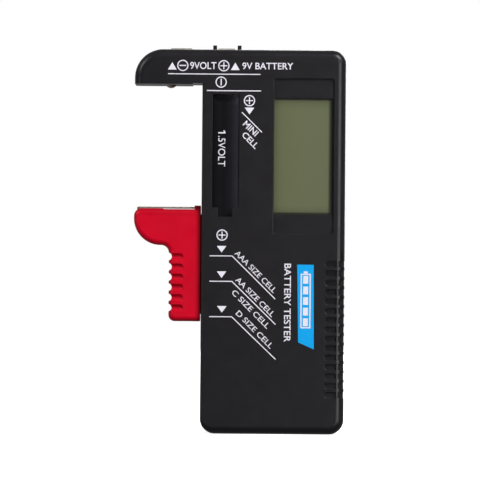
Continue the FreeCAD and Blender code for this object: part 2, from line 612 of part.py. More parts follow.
def cell_negative_contact():
    """Plate inside the arm with a domed rivet that shows under it."""
    low = "arm_under_z + wall + plate_lift"
    plate = box("arm_plate", "plate_left_x", "plate_right_x", "-plate_half", "plate_half",
                low, f"{low} + plate_thick")
    rise = f"{low} - arm_under_z + 0.1"
    stem = cylinder("arm_rivet", "z", "dome_x", "0", "arm_under_z", "dome_radius", rise)
    ball = "(dome_radius ^ 2 + dome_rise ^ 2) / (2 * dome_rise)"
    cap = doc.addObject("Part::Sphere", "arm_dome")
    cap.setExpression("Radius", bound(ball))
    cap.Angle1 = -90
    cap.setExpression("Angle2", bound(f"-asin(({ball} - dome_rise) / {ball})"))
    place_at(cap, "dome_x", "0", f"arm_under_z - dome_rise + {ball}")
    return fuse("cell_negative_contact", [plate, stem, cap])


def button_cell_contacts():
    """The fixed plate at the trough's upper end, and the one that rides on the slide's tip."""
    middle = "(trough_left_x + trough_right_x) / 2"
    left, right = f"{middle} - tip_half", f"{middle} + tip_half"
    fixed = Piece("button_cell_negative_contact")
    fixed.add("XY", [rectangle(left, right, "fixed_front_y", "fixed_back_y")],
              "fixed_tip_z", "trough_high_z")
    moving = Piece("button_cell_positive_contact")
    moving.add("XY", [rectangle(left, right, "tip_front_y", "groove_skin_y")],
               "tongue_high_z", "tongue_high_z + tip_thick")
    foot = "neck_top_z + leg_thick"
    lead = [
        ("groove_skin_y - tip_thick", foot), ("0", foot), ("0", f"{foot} + tip_thick"),
        ("groove_skin_y", f"{foot} + tip_thick"), ("groove_skin_y", "tongue_high_z + 0.1"),
        ("groove_skin_y - tip_thick", "tongue_high_z + 0.1"),
    ]
    moving.add("YZ", [lead], f"{middle} - lead_half", f"{middle} + lead_half")
    return [fixed.body, moving.body]


def slide_contact():
    """Sheet-metal strip on the slide's top that turns in through the neck to meet the spring."""
    top, under = "slide_top_z + strip_thick", "slide_top_z"
    strip = Piece("slide_contact")
    plate = [
        ("strip_left_x", top), ("strip_left_x", f"{under} - strip_lip"),
        ("strip_left_x + strip_thick", f"{under} - strip_lip"), ("strip_left_x + strip_thick", under),
        ("jog_right_x", under), ("jog_right_x", top),
    ]
    strip.add("XZ", [plate], "-strip_half", "strip_half")
    top_z = size("slide_top_z") + size("strip_thick")
    strip.round("strip_thick * 0.9", {"x": size("strip_left_x"), "z": top_z})
    leg = [
        ("jog_right_x - leg_thick", under), ("jog_right_x - leg_thick", "neck_top_z"),
        ("leg_right_x", "neck_top_z"), ("leg_right_x", "neck_top_z + leg_thick"),
        ("jog_right_x", "neck_top_z + leg_thick"), ("jog_right_x", f"{under} + 0.1"),
        ("jog_right_x - leg_thick", f"{under} + 0.1"),
    ]
    strip.add("XZ", [leg], "-leg_half", "leg_half")
    strip.cut("XY", [circle("spring_x - spring_radius * 0.7", "spring_y", "spring_wire * 2.6")],
              "neck_top_z - 1", "neck_top_z + 1")
    return strip.body


# ---- slide ------------------------------------------------------------------------------------

def slider_grip():
    """Red slide: an L-shaped grip outside, a neck through the slot and a plate inside."""
    grip = Piece("slider_blank")
    outline = [
        ("hook_left_x", "slide_top_z"), ("hook_left_x", "hook_under_z"), ("grip_left_x", "hook_under_z"),
        ("grip_left_x", "slide_low_z"), ("slide_right_x", "slide_low_z"), ("slide_right_x", "slide_top_z"),
    ]
    grip.add("XZ", [outline], "-slide_half", "slide_half")
    left, under = size("hook_left_x"), size("hook_under_z")
    grip.round("hook_round", {"x": left, "z": under})
    grip.round("hook_nose", {"x": left, "z": size("slide_top_z")})
    grip.round("throat_round", {"x": size("grip_left_x"), "z": under})
    grip.round("grip_round", {"x": size("grip_left_x"), "z": size("slide_low_z")})
    deep, top = size("slide_half"), size("slide_top_z")
    grip.round("slide_edge", {"y": -deep, "z": top}, {"y": deep, "z": top})
    # gap under the contact strip, lip room at the nose and room for the strip's jog
    over = "slide_top_z + 1"
    gap = rectangle("gap_left_x", "slide_right_x + 1", "slide_top_z - gap_deep", over)
    grip.cut("XZ", [gap], "-slide_half", "slide_half")
    nose = rectangle("hook_left_x - 1", "strip_left_x + strip_thick + 0.1",
                     "slide_top_z - strip_lip - 0.1", over)
    grip.cut("XZ", [nose], "-strip_half - 0.1", "strip_half + 0.1")
    jog = rectangle("jog_right_x - leg_thick - 0.1", "slide_right_x + 1", "neck_top_z", over)
    grip.cut("XZ", [jog], "-leg_half - 0.1", "leg_half + 0.1")
    ear = rectangle("slide_right_x - ear_wide", "slide_right_x",
                    "slide_top_z - 1", "slide_top_z + ear_rise")
    for low, high in (("-ear_out_y", "-ear_in_y"), ("ear_in_y", "ear_out_y")):
        grip.add("XZ", [ear], low, high)
    neck = rectangle("slide_right_x - 0.5", "flange_in_x", "neck_low_z", "neck_top_z")
    grip.add("XZ", [neck], "-neck_half", "neck_half")
    flange = rectangle("flange_out_x", "flange_in_x", "neck_low_z", "neck_top_z")
    grip.add("XZ", [flange], "-flange_half", "flange_half")
    pad = rectangle("flange_in_x - 0.5", "pad_right_x", "pad_low_z", "pad_high_z")
    grip.add("XZ", [pad], "pad_front_y", "pad_back_y")
    holes = [circle(x, z, "board_screw + 0.1") for x, z in SLIDE_SCREWS]
    grip.cut("XZ", holes, "pad_front_y - 1", "pad_back_y + 1")
    # finger notches down the left edge, each with a scoop on the front and back faces
    tools = []
    for i in range(int(size("notch_count"))):
        z = f"notch_top_z - {i} * notch_pitch"
        tools.append(cylinder(f"notch_{i}", "y", "notch_centre_x", "-slide_half - 1", z,
                              "notch_radius", "2 * slide_half + 2"))
        for side, sign in (("front", -1), ("back", 1)):
            y = f"{sign} * (slide_half + scoop_radius - scoop_deep)"
            tools.append(cylinder(f"scoop_{side}_{i}", "x", "grip_left_x - 1", y, z,
                                  "scoop_radius", "scoop_right_x - grip_left_x + 1"))
            ball = doc.addObject("Part::Sphere", f"scoop_end_{side}_{i}")
            ball.setExpression("Radius", bound("scoop_radius"))
            tools.append(place_at(ball, "scoop_right_x", y, z))
    return subtract("slider_grip", grip.body, fuse("notch_tools", tools))


def button_cell_slide():
    """Hollowed tongue that fills the trough and runs under the front wall as the slide drops."""
    tongue = Piece("tongue_blank")
    tongue.add("XZ", [rectangle("trough_left_x + tongue_side", "trough_right_x - tongue_side",
                                "tongue_low_z", "tongue_high_z")], "tongue_front_y", "tongue_back_y")
    tongue.add("XZ", [rectangle("foot_left_x", "pad_right_x", "pad_low_z", "pad_high_z")],
               "tongue_back_y - 0.5", "pad_front_y")
    middle = "(trough_left_x + trough_right_x) / 2"
    tongue.cut("XZ", [rectangle(f"{middle} - lead_half - 0.1", f"{middle} + lead_half + 0.1",
                                "pad_high_z", "tongue_high_z + 1")],
               "groove_skin_y - tip_thick - 0.05", "tongue_back_y + 1")
    pilots = [circle(x, z, "board_pilot") for x, z in SLIDE_SCREWS]
    tongue.cut("XZ", pilots, "tongue_back_y", "pad_front_y + 1")
    hollow = cylinder("tongue_hollow_tool", "z", middle, "tongue_front_y + tongue_sink - tongue_hollow",
                      "tongue_low_z - 1", "tongue_hollow", "tongue_high_z - tongue_low_z + 2")
    return subtract("button_cell_slide", tongue.body, hollow)


# ---- spring and leads -------------------------------------------------------------------------

def swept(path, radius):
    """A round bar of the given radius along a wire."""
    start, ahead = path.Edges[0].firstVertex().Point, path.Edges[0].tangentAt(path.Edges[0].FirstParameter)
    profile = Part.Wire([Part.Circle(start, ahead, radius).toShape()])
    return path.makePipeShell([profile], True, True)


def return_spring():
    """Extension spring: open coil, with a round eye at each end joined by a crossover."""
    x, y, radius, wire, overrun = (size(f"spring_{k}") for k in ("x", "y", "radius", "wire", "overrun"))
    low = size("hook_low_z") + radius + 2 * wire
    high = size("hook_high_z") - radius - 2 * wire
    helix = Part.makeHelix((high - low) / size("spring_turns"), high - low, radius)
    coil = swept(Part.Wire(helix.Edges), wire)
    coil.translate(FreeCAD.Vector(x, y, low))
    parts = []
    for eye_z, coil_z in ((size("hook_low_z"), low), (size("hook_high_z"), high)):
        eye = Part.makeTorus(radius, wire, FreeCAD.Vector(x, y, eye_z), FreeCAD.Vector(0, 1, 0))
        near = FreeCAD.Vector(x, y, eye_z + math.copysign(radius, coil_z - eye_z))
        step = FreeCAD.Vector(x + radius, y, coil_z) - near
        past = FreeCAD.Vector(step).normalize() * overrun
        parts += [eye, Part.makeCylinder(wire, step.Length + 2 * overrun, near - past, step)]
    return solid("return_spring", coil.fuse(parts))


def spring_terminal():
    eye = Piece("spring_terminal")
    eye.add("XZ", [circle("spring_x", "post_z", "eye_radius")], "eye_y", "eye_y + eye_thick")
    tail = rectangle("spring_x + eye_radius - 0.5", "spring_x + eye_radius + tail_long",
                     "post_z - tail_half", "post_z + tail_half")
    eye.add("XZ", [tail], "eye_y", "eye_y + eye_thick")
    eye.cut("XZ", [circle("spring_x", "post_z", "eye_hole")], "eye_y - 1", "eye_y + eye_thick + 1")
    return eye.body


def rounded_path(points):
    """Straight runs joined by tangent arcs, each as large as its two runs allow."""
    corners = [FreeCAD.Vector(*p) for p in points]
    edges, last = [], corners[0]
    for before, corner, after in zip(corners, corners[1:], corners[2:]):
        back, ahead = (before - corner), (after - corner)
        reach = 0.45 * min(back.Length, ahead.Length)
        back.normalize()
        ahead.normalize()
        start, end = corner + back * reach, corner + ahead * reach
        half_turn = (math.pi - back.getAngle(ahead)) / 2
        radius = reach / math.tan(half_turn)
        inward = (back + ahead).normalize()
        middle = corner + inward * (radius / math.cos(half_turn) - radius)
        edges += [Part.LineSegment(last, start).toShape(), Part.Arc(start, middle, end).toShape()]
        last = end
    edges.append(Part.LineSegment(last, corners[-1]).toShape())
    return Part.Wire(edges)


def leads():
    made = []
    for name, points in LEADS.items():
        path = rounded_path(points)
        lead = swept(path, size("lead_radius"))
        expected = math.pi * size("lead_radius") ** 2 * path.Length
        print(f"{name}: length {path.Length:.1f}, volume ratio {lead.Volume / expected:.4f}")
        made.append(solid(name, lead))
    return made


# ---- all parts --------------------------------------------------------------------------------

parts = [front_housing(), rear_housing(), *display_parts(), *board_parts()]
parts += [
    cross_screws("case_screws", CASE_SCREWS, "cup_floor_y", "screw_tip_y", "screw_radius",
                 "screw_head", "head_high"),
    cross_screws("board_screws", BOARD_SCREWS, "board_front_y + board_thick", "board_tip_y", "board_screw",
                 "board_head", "board_head_high"),
    snap_contact("nine_volt_positive_contact", 0), snap_contact("nine_volt_negative_contact", 1),
    cell_negative_contact(), *button_cell_contacts(), return_spring(), spring_terminal(), *leads(),
    slider_grip(), slide_contact(), button_cell_slide(),
    cross_screws("slide_screws", SLIDE_SCREWS, "pad_back_y", "tongue_back_y + 0.4", "board_screw",
                 "board_head", "board_head_high"),
]
doc.recompute()

failed = [o.Name for o in doc.Objects if "Invalid" in o.State or "Error" in o.State]
if failed:
    raise ValueError(f"these objects failed: {failed}")
for part in parts:
    if part.Shape.isNull() or not part.Shape.isValid() or not part.Shape.Solids:
        raise ValueError(f"{part.Label} has no valid solid")
os.makedirs("parts", exist_ok=True)
for part in parts:
    part.Shape.exportStep(f"parts/{part.Label}.step")
    print(f"{part.Label}: {len(part.Shape.Solids)} solids, {part.Shape.Volume:.1f} mm3")
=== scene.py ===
import math

import bmesh
import bpy
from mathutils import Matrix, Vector


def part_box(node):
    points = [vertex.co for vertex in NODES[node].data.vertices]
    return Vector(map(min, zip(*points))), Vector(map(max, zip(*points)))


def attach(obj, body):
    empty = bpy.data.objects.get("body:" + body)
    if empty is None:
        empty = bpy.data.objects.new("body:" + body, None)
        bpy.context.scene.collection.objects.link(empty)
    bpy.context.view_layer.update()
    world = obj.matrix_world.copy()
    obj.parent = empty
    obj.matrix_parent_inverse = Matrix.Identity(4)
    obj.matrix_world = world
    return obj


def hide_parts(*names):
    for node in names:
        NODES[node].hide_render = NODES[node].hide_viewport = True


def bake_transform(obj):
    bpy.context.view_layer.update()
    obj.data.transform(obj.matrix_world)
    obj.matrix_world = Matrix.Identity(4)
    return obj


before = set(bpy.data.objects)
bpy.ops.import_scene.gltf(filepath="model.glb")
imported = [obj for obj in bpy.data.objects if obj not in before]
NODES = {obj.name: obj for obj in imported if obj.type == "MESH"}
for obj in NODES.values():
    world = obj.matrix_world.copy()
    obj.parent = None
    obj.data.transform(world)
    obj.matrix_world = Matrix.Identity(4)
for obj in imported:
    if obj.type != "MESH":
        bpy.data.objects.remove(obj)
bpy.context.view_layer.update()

MM = 0.001               # the object's sizes are written in millimetres, the studio's in metres


def box_mm(node):
    """A node's lowest and highest corners in millimetres."""
    low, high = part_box(node)
    return low / MM, high / MM


FRONT_Y = box_mm("front_housing")[0].y     # the case's front face
INK = 0.02                                 # thickness of the printed ink
INK_GAP = 0.004                            # air between the ink and the face under it


# ---- node helpers -----------------------------------------------------------------------------

class Nodes:
    """A small wrapper that builds one material's node tree."""

    def __init__(self, name):
        self.mat = bpy.data.materials.new(name)
        self.mat.use_nodes = True
        self.open()

    @classmethod
    def over(cls, material):
        """A wrapper for a material that already has its nodes."""
        made = cls.__new__(cls)
        made.mat = material
        made.open()
        return made

    def open(self):
        self.tree = self.mat.node_tree
        self.bsdf = next(n for n in self.tree.nodes if n.type == "BSDF_PRINCIPLED")
        self.coord = self.tree.nodes.new("ShaderNodeTexCoord").outputs["Object"]

    def link(self, out, socket):
        self.tree.links.new(out, socket)

    def tone(self, factor):
        """Multiplies the base colour by a grey."""
        base = self.bsdf.inputs["Base Color"].links[0].from_socket
        self.set(Base_Color=self.multiply(base, factor))

    def scaled(self, factor):
        """Object coordinates stretched by (x, y, z)."""
        node = self.tree.nodes.new("ShaderNodeVectorMath")
        node.operation = "MULTIPLY"
        self.link(self.coord, node.inputs[0])
        node.inputs[1].default_value = factor
        return node.outputs["Vector"]

    def noise(self, size_mm, detail=2.0, rough=0.5, stretch=(1, 1, 1)):
        """Noise whose features are about size_mm across. Its mean is 0.5."""
        node = self.tree.nodes.new("ShaderNodeTexNoise")
        self.link(self.scaled(stretch), node.inputs["Vector"])
        node.inputs["Scale"].default_value = 1.0 / (size_mm * MM)
        node.inputs["Detail"].default_value = detail
        node.inputs["Roughness"].default_value = rough
        return node.outputs["Fac"]

    def ramp(self, fac, stops):
        """A colour ramp through (place, grey or rgb) stops."""
        node = self.tree.nodes.new("ShaderNodeValToRGB")
        self.link(fac, node.inputs["Fac"])
        elements = node.color_ramp.elements
        while len(elements) < len(stops):
            elements.new(0.5)
        for element, (place, colour) in zip(elements, stops):
            element.position = place
            rgb = colour if hasattr(colour, "__len__") else (colour,) * 3
            element.color = (*rgb, 1.0)
        return node.outputs["Color"]

    def place(self, axis):
        """Where a point lies along X, Y or Z of the object, in metres."""
        node = self.tree.nodes.new("ShaderNodeSeparateXYZ")
        self.link(self.coord, node.inputs[0])
        return node.outputs[axis]

    def span(self, fac, low, high, lo_in=0.3, hi_in=0.7):
        """Maps lo_in to hi_in onto low to high and holds the ends."""
        node = self.tree.nodes.new("ShaderNodeMapRange")
        self.link(fac, node.inputs["Value"])
        for key, value in (("From Min", lo_in), ("From Max", hi_in), ("To Min", low), ("To Max", high)):
            node.inputs[key].default_value = value
        return node.outputs["Result"]

    def bump(self, height, distance_mm, strength=1.0, below=None):
        """A normal bumped by a height, on top of the normal below."""
        node = self.tree.nodes.new("ShaderNodeBump")
        self.link(height, node.inputs["Height"])
        node.inputs["Distance"].default_value = distance_mm * MM
        node.inputs["Strength"].default_value = strength
        if below is not None:
            self.link(below, node.inputs["Normal"])
        return node.outputs["Normal"]

    def soft_edges(self, radius_mm):
        """A normal that rounds the edges off."""
        node = self.tree.nodes.new("ShaderNodeBevel")
        node.samples = 6
        node.inputs["Radius"].default_value = radius_mm * MM
        return node.outputs["Normal"]

    def product(self, first, second):
        """One number times another."""
        node = self.tree.nodes.new("ShaderNodeMath")
        node.operation = "MULTIPLY"
        self.link(first, node.inputs[0])
        self.link(second, node.inputs[1])
        return node.outputs["Value"]

    def multiply(self, first, second):
        """One colour times another."""
        node = self.tree.nodes.new("ShaderNodeMix")
        node.data_type, node.blend_type = "RGBA", "MULTIPLY"
        node.inputs["Factor"].default_value = 1.0
        self.link(first, next(i for i in node.inputs if i.identifier == "A_Color"))
        self.link(second, next(i for i in node.inputs if i.identifier == "B_Color"))
        return next(o for o in node.outputs if o.identifier == "Result_Color")

    def set(self, **values):
        """Sets the shader's sockets, each to a value or to another node's output."""
        for key, value in values.items():
            socket = self.bsdf.inputs[key.replace("_", " ")]
            if isinstance(value, bpy.types.NodeSocket):
                self.link(value, socket)
            else:
                socket.default_value = value


def tint(colour, factor):
    return tuple(min(1.0, c * factor) for c in colour)


def moulded(name, colour, rough, grain_mm, grain_depth, spec=0.5, edge=0.12, vary=0.12):
    """Injection-moulded plastic: fine spark-eroded grain, faint flow mottling, soft edges."""
    n = Nodes(name)
    mottle = n.noise(9.0, detail=3.0, rough=0.55)
    n.set(Base_Color=n.ramp(mottle, [(0.3, tint(colour, 1 - vary)), (0.7, tint(colour, 1 + vary))]))
    grain = n.noise(grain_mm, detail=3.0, rough=0.6)
    n.set(Roughness=n.span(n.noise(3.0, detail=4.0, rough=0.6), rough - 0.05, rough + 0.05))
    n.set(Normal=n.bump(grain, grain_depth, below=n.soft_edges(edge)))
    n.set(Specular_IOR_Level=spec)
    return n.mat


def metal(name, colour, rough, brush=(1, 1, 1), brush_mm=0.15, depth=0.004, tarnish=0.18):
    """Plated sheet or wire: fine drawn lines, slightly uneven tone and gloss."""
    n = Nodes(name)
    patch = n.noise(2.2, detail=4.0, rough=0.6)
    n.set(Base_Color=n.ramp(patch, [(0.32, tint(colour, 1 - tarnish)), (0.68, colour)]))
    lines = n.noise(brush_mm, stretch=brush)
    n.set(Roughness=n.span(lines, rough - 0.07, rough + 0.09))
    n.set(Normal=n.bump(lines, depth, strength=0.7, below=n.soft_edges(0.06)))
    n.set(Metallic=1.0)
    return n.mat


def ink(name, colour, rough=0.42, spec=0.5):
    """Screen-printed ink: nearly even, with slight pinholes and a soft sheen."""
    n = Nodes(name)
    spots = n.noise(0.22, detail=3.0, rough=0.6)
    n.set(Base_Color=n.ramp(spots, [(0.30, tint(colour, 0.86)), (0.46, colour)]))
    n.set(Roughness=n.span(n.noise(0.6), rough - 0.05, rough + 0.08))
    n.set(Normal=n.bump(spots, 0.004))
    n.set(Specular_IOR_Level=spec)
    return n.mat


BLACK = (0.0092, 0.0083, 0.0104)
INNER_BLACK = (0.0042, 0.0042, 0.006)
TONGUE_BLACK = (0.108, 0.108, 0.137)         # its lightest tone, the painted light at its right edge and upper end: shade_along takes the rest down
RED = (0.532, 0.0008, 0.0158)
NICKEL = (0.62, 0.60, 0.52)
STEEL = (0.50, 0.50, 0.51)


def rising(axis, first, last, start=0.0):
    """A span for paint_shade_where: from start to 1 between two places in millimetres."""
    return axis, first, last, start, 1.0


def falling(axis, first, last):
    """A span for paint_shade_where: from 1 to 0 between two places in millimetres."""
    return axis, first, last, 1.0, 0.0


def paint_shade_where(mat, spans, factor):
    """Paints shade: multiplies a material's colour by a factor where every span holds."""
    n = Nodes.over(mat)
    mask = None
    for axis, first, last, low, high in spans:
        step = n.span(n.place(axis), low, high, first * MM, last * MM)
        mask = step if mask is None else n.product(mask, step)
    n.tone(n.ramp(mask, [(0.0, 1.0), (1.0, factor)]))
    return mat


def shade_along(mat, axis, stops):
    """Multiplies a material's colour along an axis, through (place in millimetres, factor) stops."""
    n = Nodes.over(mat)
    first, last = stops[0][0], stops[-1][0]
    share = n.span(n.place(axis), 0.0, 1.0, first * MM, last * MM)
    n.tone(n.ramp(share, [((place - first) / (last - first), factor) for place, factor in stops]))
    return mat


def case_black():
    """Black ABS with painted shade down in the finger grooves, most of all in the upper ones. The grain
    is about
    0.16 mm across and a few micrometres deep, so it mostly spreads gloss."""
    mat = moulded("case_black", BLACK, 0.34, 0.16, 0.005, spec=0.26, edge=0.18, vary=0.10)
    # painted shade on the groove floors, 0.4 to 0.7 mm behind the front face, right of x = 23 mm and
    # below z = 51 mm, fading out towards the bottom
    deep = [rising("Y", FRONT_Y + 0.07, FRONT_Y + 0.4), falling("Y", FRONT_Y + 0.7, FRONT_Y + 0.9)]
    groove_left, groove_top, fade_low, fade_high = 23.0, 51.0, 12.0, 38.0
    reach = [rising("X", groove_left, groove_left + 0.3), falling("Z", groove_top, groove_top + 1.0)]
    return paint_shade_where(mat, deep + reach + [rising("Z", fade_low, fade_high)], 0.36)


def tongue_black():
    """Black ABS with painted light: lighter in tone towards its right edge and at its upper end."""
    mat = moulded("tongue_black", TONGUE_BLACK, 0.52, 0.2, 0.0008, spec=0.05, edge=0.10)
    corner = box_mm("button_cell_slide")[1]
    # millimetres from that corner, and the factor there
    across = ((-4.35, 0.07), (-1.95, 0.27), (-1.15, 0.50), (-0.35, 1.0))
    upward = ((-3.1, 0.42), (-0.4, 1.0))
    # painted light: lighter towards the right edge, then towards the upper end
    shade_along(mat, "X", [(corner.x + step, factor) for step, factor in across])
    return shade_along(mat, "Z", [(corner.z + step, factor) for step, factor in upward])


def slide_red():
    """Red ABS with painted shade: deeper in tone down in the grip's scoops and along the hook's upper
    edge.
    """
    mat = moulded("slide_red", RED, 0.33, 0.22, 0.004, spec=0.15, edge=0.22, vary=0.05)
    low, high = box_mm("slider_grip")
    front = [rising("Y", low.y + 0.05, low.y + 0.4), falling("Y", low.y + 0.6, low.y + 0.8)]
    back = [rising("Y", high.y - 0.8, high.y - 0.6), falling("Y", high.y - 0.4, high.y - 0.05)]
    left, right, foot, top = -20.2, -15.4, 33.5, 51.6     # the scoops' reach
    scoops = [rising("X", left, left + 0.8, start=0.2), falling("X", right - 0.6, right),
              rising("Z", foot, foot + 0.5), falling("Z", top - 0.4, top)]
    # painted shade down in the grip's scoops, on the front and the back face
    for side in (front, back):
        paint_shade_where(mat, side + scoops, 0.80)
    # painted shade along the hook's upper edge
    return paint_shade_where(mat, [rising("Z", high.z - 3.1, high.z - 0.6)], 0.60)


def display_film():
    """Rear-polarised reflective display: olive, with a faint sparkle from the reflector and slight
    pillowing across the glass. It is darker along its edges; along the upper and right edges that is
    painted shadow from the window frame."""
    n = Nodes("display_film")
    low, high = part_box("display_polarizer")
    share_x = n.span(n.place("X"), 0.0, 1.0, low.x, high.x)
    share_z = n.span(n.place("Z"), 0.0, 1.0, low.z, high.z)
    # painted shadow from the window frame towards the right end
    across = n.ramp(share_x, [(0.00, (0.081, 0.092, 0.042)), (0.10, (0.105, 0.118, 0.056)),
                              (0.45, (0.111, 0.122, 0.061)), (0.870, (0.105, 0.118, 0.060)),
                              (0.893, (0.050, 0.056, 0.026)), (0.915, (0.010, 0.011, 0.005))])
    # painted shadow from the window frame towards the upper end, and a dark band along the lower end
    upward = n.ramp(share_z, [(0.058, 0.10), (0.070, 0.80), (0.12, 1.0), (0.88, 1.0), (0.93, 0.84),
                              (0.957, 0.66), (0.968, 0.10)])
    sparkle = n.ramp(n.noise(0.09, rough=0.6), [(0.35, 0.90), (0.65, 1.06)])
    n.set(Base_Color=n.multiply(n.multiply(across, sparkle), upward))
    n.set(Roughness=n.span(n.noise(0.12), 0.36, 0.46))
    n.set(Normal=n.bump(n.noise(6.0, detail=1.0), 0.02, strength=0.4))
    n.set(Specular_IOR_Level=0.30, Coat_Weight=0.25, Coat_Roughness=0.12)
    return n.mat


def display_glass():
    """Thin soda glass with a slight green cast."""
    n = Nodes("display_glass")
    n.set(Base_Color=n.ramp(n.noise(5.0), [(0.3, (0.86, 0.92, 0.86)), (0.7, (0.92, 0.96, 0.90))]))
    n.set(Roughness=n.span(n.noise(2.0), 0.03, 0.08))
    n.set(Transmission_Weight=0.9, IOR=1.5)
    return n.mat


def circuit_board():
    """Green solder mask over copper: tracks run along the board and show as a lighter, raised green."""
    n = Nodes("circuit_board")
    plane = n.tree.nodes.new("ShaderNodeCombineXYZ")
    n.link(n.place("Z"), plane.inputs["X"])
    n.link(n.place("X"), plane.inputs["Y"])
    tracks = n.tree.nodes.new("ShaderNodeTexBrick")
    n.link(plane.outputs["Vector"], tracks.inputs["Vector"])
    for key, value in (("Scale", 1.0), ("Brick Width", 9 * MM), ("Row Height", 1.3 * MM),
                       ("Mortar Size", 0.22 * MM), ("Mortar Smooth", 0.2)):
        tracks.inputs[key].default_value = value
    mask = tracks.outputs["Fac"]
    n.set(Base_Color=n.ramp(mask, [(0.2, (0.010, 0.085, 0.030)), (0.8, (0.030, 0.190, 0.062))]))
    n.set(Roughness=n.span(n.noise(0.8), 0.24, 0.36))
    n.set(Normal=n.bump(mask, 0.03, strength=0.6, below=n.bump(n.noise(0.3), 0.004)))
    return n.mat


def zebra_rubber():
    """Elastomer strip: conducting and insulating layers that alternate along its length."""
    n = Nodes("zebra_rubber")
    wave = n.tree.nodes.new("ShaderNodeTexWave")
    wave.bands_direction = "Z"
    n.link(n.coord, wave.inputs["Vector"])
    wave.inputs["Scale"].default_value = 1.0 / (0.5 * MM)
    wave.inputs["Distortion"].default_value = 0.3
    layers = [(0.35, (0.02, 0.02, 0.02)), (0.65, (0.42, 0.36, 0.34))]
    n.set(Base_Color=n.ramp(wave.outputs["Fac"], layers))
    n.set(Roughness=n.span(n.noise(0.4), 0.6, 0.75))
    return n.mat


def speckled(name, colour, other, size_mm, rough):
    """Ferrite, ceramic or moulded epoxy: two tones of fine speckle."""
    n = Nodes(name)
    dots = n.noise(size_mm, detail=4.0, rough=0.7)
    n.set(Base_Color=n.ramp(dots, [(0.42, colour), (0.58, other)]))
    n.set(Roughness=n.span(dots, rough - 0.08, rough + 0.08))
    n.set(Normal=n.bump(dots, 0.01, strength=0.6, below=n.soft_edges(0.08)))
    return n.mat


def lead(name, colour):
    """PVC insulation, slightly wavy from being drawn."""
    n = Nodes(name)
    wave = n.noise(1.4)
    n.set(Base_Color=n.ramp(wave, [(0.3, tint(colour, 0.85)), (0.7, colour)]))
    n.set(Roughness=n.span(wave, 0.32, 0.44))
    n.set(Normal=n.bump(wave, 0.02))
    return n.mat


CASE_BLACK = case_black()
TROUGH_BLACK = moulded("trough_black", INNER_BLACK, 0.52, 0.2, 0.0008, spec=0.05, edge=0.10)
SLIDE_RED = slide_red()
CONTACT = metal("contact_metal", NICKEL, 0.34, brush=(0.12, 1, 1))
PLATED = metal("contact_plate", (0.80, 0.78, 0.69), 0.46, brush=(1, 0.1, 1))
SCREW = metal("screw_metal", STEEL, 0.30, brush_mm=0.12)
SPRING = metal("spring_metal", (0.60, 0.59, 0.57), 0.26, brush_mm=0.1, depth=0.002)
INK_WHITE = ink("ink_white", (0.74, 0.72, 0.80))
INK_BLUE = ink("ink_blue", (0.002, 0.340, 0.770), 0.36, spec=0.2)
SOLDER = metal("solder", (0.72, 0.72, 0.74), 0.28, brush_mm=0.4, depth=0.01, tarnish=0.25)

LOOKS = {
    "front_housing": CASE_BLACK, "rear_housing": CASE_BLACK, "case_screws": SCREW, "board_screws": SCREW,
    "slide_screws": SCREW, "display_polarizer": display_film(), "display_front_glass": display_glass(),
    "display_reflector": speckled("display_mirror", (0.13, 0.14, 0.08), (0.17, 0.18, 0.10), 0.08, 0.45),
    "display_holder": TROUGH_BLACK, "zebra_connector": zebra_rubber(), "circuit_board": circuit_board(),
    "chip_blob": speckled("epoxy_black", (0.008, 0.008, 0.008), (0.014, 0.014, 0.015), 0.5, 0.22),
    "chip_resistors": speckled("chip_black", (0.012, 0.012, 0.013), (0.03, 0.03, 0.03), 0.15, 0.5),
    "chip_capacitors": speckled("chip_tan", (0.30, 0.20, 0.11), (0.38, 0.27, 0.16), 0.15, 0.5),
    "boost_inductor": speckled("ferrite", (0.03, 0.03, 0.033), (0.07, 0.07, 0.075), 0.2, 0.6),
    "nine_volt_positive_contact": PLATED, "nine_volt_negative_contact": PLATED,
    "cell_negative_contact": metal("arm_contact", (0.42, 0.36, 0.33), 0.36, brush=(1, 0.1, 1)),
    "button_cell_negative_contact": CONTACT, "button_cell_positive_contact": CONTACT,
    "spring_terminal": CONTACT, "slide_contact": metal("strip_metal", NICKEL, 0.30, brush=(0.12, 1, 1)),
    "slider_grip": SLIDE_RED, "button_cell_slide": tongue_black(),
    "cell_negative_lead": lead("lead_black", (0.014, 0.014, 0.015)),
    "nine_volt_positive_lead": lead("lead_red", (0.50, 0.012, 0.012)),
    "button_cell_lead": lead("lead_white", (0.70, 0.70, 0.66)),
}
LOOKS["display_rear_glass"] = LOOKS["display_front_glass"]
LOOKS["nine_volt_negative_lead"] = LOOKS["cell_negative_lead"]
LOOKS["spring_lead"] = LOOKS["nine_volt_positive_lead"]

for node, material in LOOKS.items():
    NODES[node].data.materials.clear()
    NODES[node].data.materials.append(material)


# ---- meshes -----------------------------------------------------------------------------------

def mesh_of(curve):
    """The mesh that a curve or a text comes out as. The curve itself is removed."""
    holder = bpy.data.objects.new(curve.name, curve)
    bpy.context.scene.collection.objects.link(holder)
    bpy.context.view_layer.update()
    mesh = bpy.data.meshes.new_from_object(holder.evaluated_get(bpy.context.evaluated_depsgraph_get()))
    bpy.data.objects.remove(holder)
    bpy.data.curves.remove(curve)
    return mesh


def mesh_from(name, bm):
    """A mesh from a finished bmesh, which is freed."""
    mesh = bpy.data.meshes.new(name)
    bm.to_mesh(mesh)
    bm.free()
    return mesh


def placed(name, mesh, material):
    """An object in the scene with this mesh and material."""
    mesh.materials.append(material)
    piece = bpy.data.objects.new(name, mesh)
    bpy.context.scene.collection.objects.link(piece)
    return piece


def smooth(mesh):
    for polygon in mesh.polygons:
        polygon.use_smooth = True


# ---- flat shapes, in millimetres, as lists of outlines ----------------------------------------

RING_STEPS = 40


